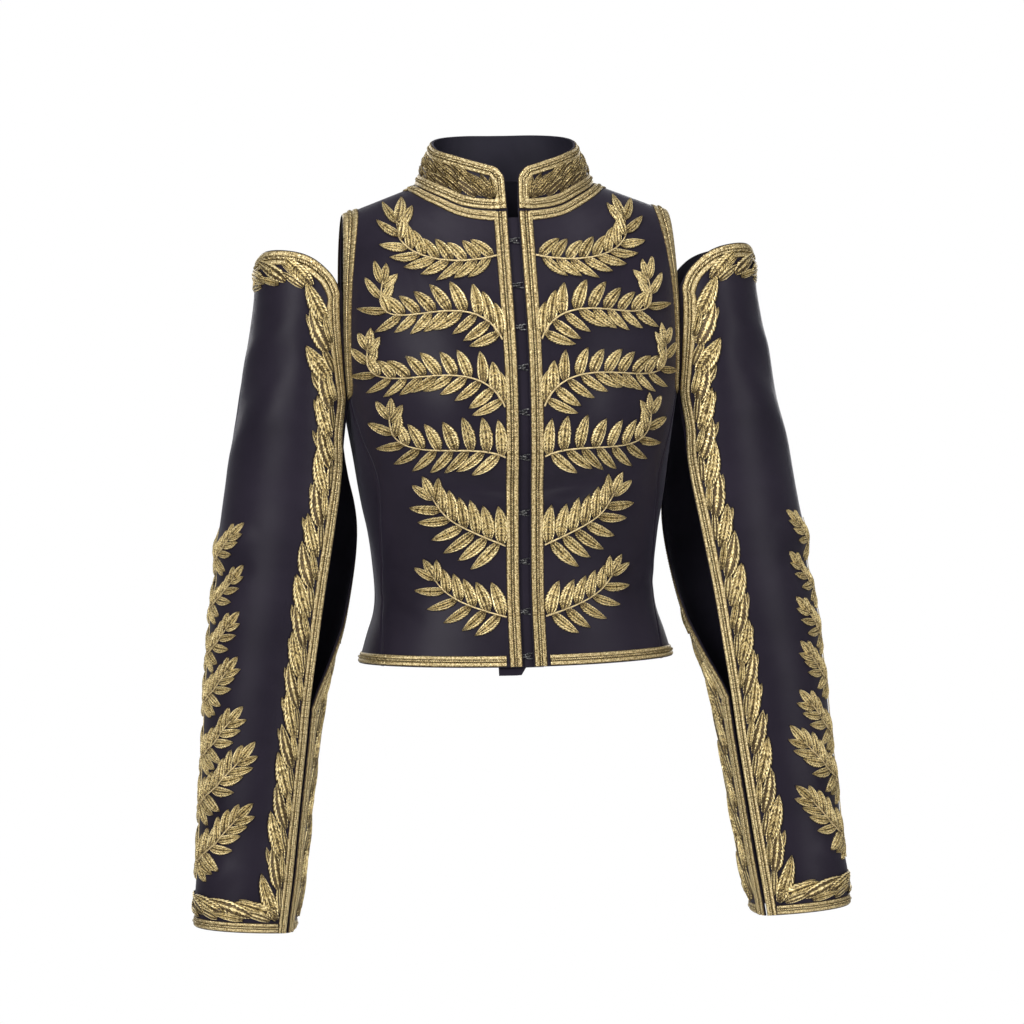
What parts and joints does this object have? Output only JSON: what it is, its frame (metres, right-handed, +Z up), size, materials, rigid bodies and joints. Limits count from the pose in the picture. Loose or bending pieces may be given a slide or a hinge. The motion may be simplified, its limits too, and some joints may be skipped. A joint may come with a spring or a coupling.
{
  "type": "military jacket",
  "caption": "Cropped fitted full-dress jacket with a standing collar, gold leaf embroidery, braid edges and sleeves left open at the shoulder and inner arm.",
  "frame": {"origin": "midway between the shoulder seams, where the wearer's shoulders hold the jacket", "axes": "+Z up, -Y the jacket's front, +X towards the wearer's left arm"},
  "size_m": [0.6148, 0.2253, 0.735],
  "materials": {
    "dark_cloth": "dark aubergine satin cloth with a soft sheen",
    "gold_braid": "antique gold cord braid",
    "gold_embroidery": "padded gold bullion embroidery",
    "black_metal": "black wire"
  },
  "bodies": {
    "root": {"armhole_braid_left": "gold_braid", "armhole_braid_right": "gold_braid", "back_left": "dark_cloth", "back_right": "dark_cloth", "collar": "dark_cloth", "collar_braid": "gold_braid", "collar_leaves": "gold_embroidery", "cuff_braid_left": "gold_braid", "cuff_braid_right": "gold_braid", "front_braid_left": "gold_braid", "front_braid_right": "gold_braid", "front_left": "dark_cloth", "front_right": "dark_cloth", "front_spray_1_left": "gold_embroidery", "front_spray_1_right": "gold_embroidery", "front_spray_2_left": "gold_embroidery", "front_spray_2_right": "gold_embroidery", "front_spray_3_left": "gold_embroidery", "front_spray_3_right": "gold_embroidery", "front_spray_4_left": "gold_embroidery", "front_spray_4_right": "gold_embroidery", "front_spray_5_left": "gold_embroidery", "front_spray_5_right": "gold_embroidery", "front_spray_6_left": "gold_embroidery", "front_spray_6_right": "gold_embroidery", "garland_back_left": "gold_embroidery", "garland_back_right": "gold_embroidery", "garland_cuff_left": "gold_embroidery", "garland_cuff_right": "gold_embroidery", "garland_front_left": "gold_embroidery", "garland_front_right": "gold_embroidery", "garland_top_left": "gold_embroidery", "garland_top_right": "gold_embroidery", "hem_braid": "gold_braid", "hook_and_eye_01": "black_metal", "hook_and_eye_02": "black_metal", "hook_and_eye_03": "black_metal", "hook_and_eye_04": "black_metal", "hook_and_eye_05": "black_metal", "hook_and_eye_06": "black_metal", "hook_and_eye_07": "black_metal", "hook_and_eye_08": "black_metal", "hook_and_eye_09": "black_metal", "hook_and_eye_10": "black_metal", "neck_braid": "gold_braid", "side_back_left": "dark_cloth", "side_back_right": "dark_cloth", "side_front_left": "dark_cloth", "side_front_right": "dark_cloth", "sleeve_back_braid_left": "gold_braid", "sleeve_back_braid_right": "gold_braid", "sleeve_back_left": "dark_cloth", "sleeve_back_right": "dark_cloth", "sleeve_front_braid_left": "gold_braid", "sleeve_front_braid_right": "gold_braid", "sleeve_front_left": "dark_cloth", "sleeve_front_right": "dark_cloth", "sleeve_sprays_left": "gold_embroidery", "sleeve_sprays_right": "gold_embroidery", "underlap": "dark_cloth"}
  },
  "joints": []
}
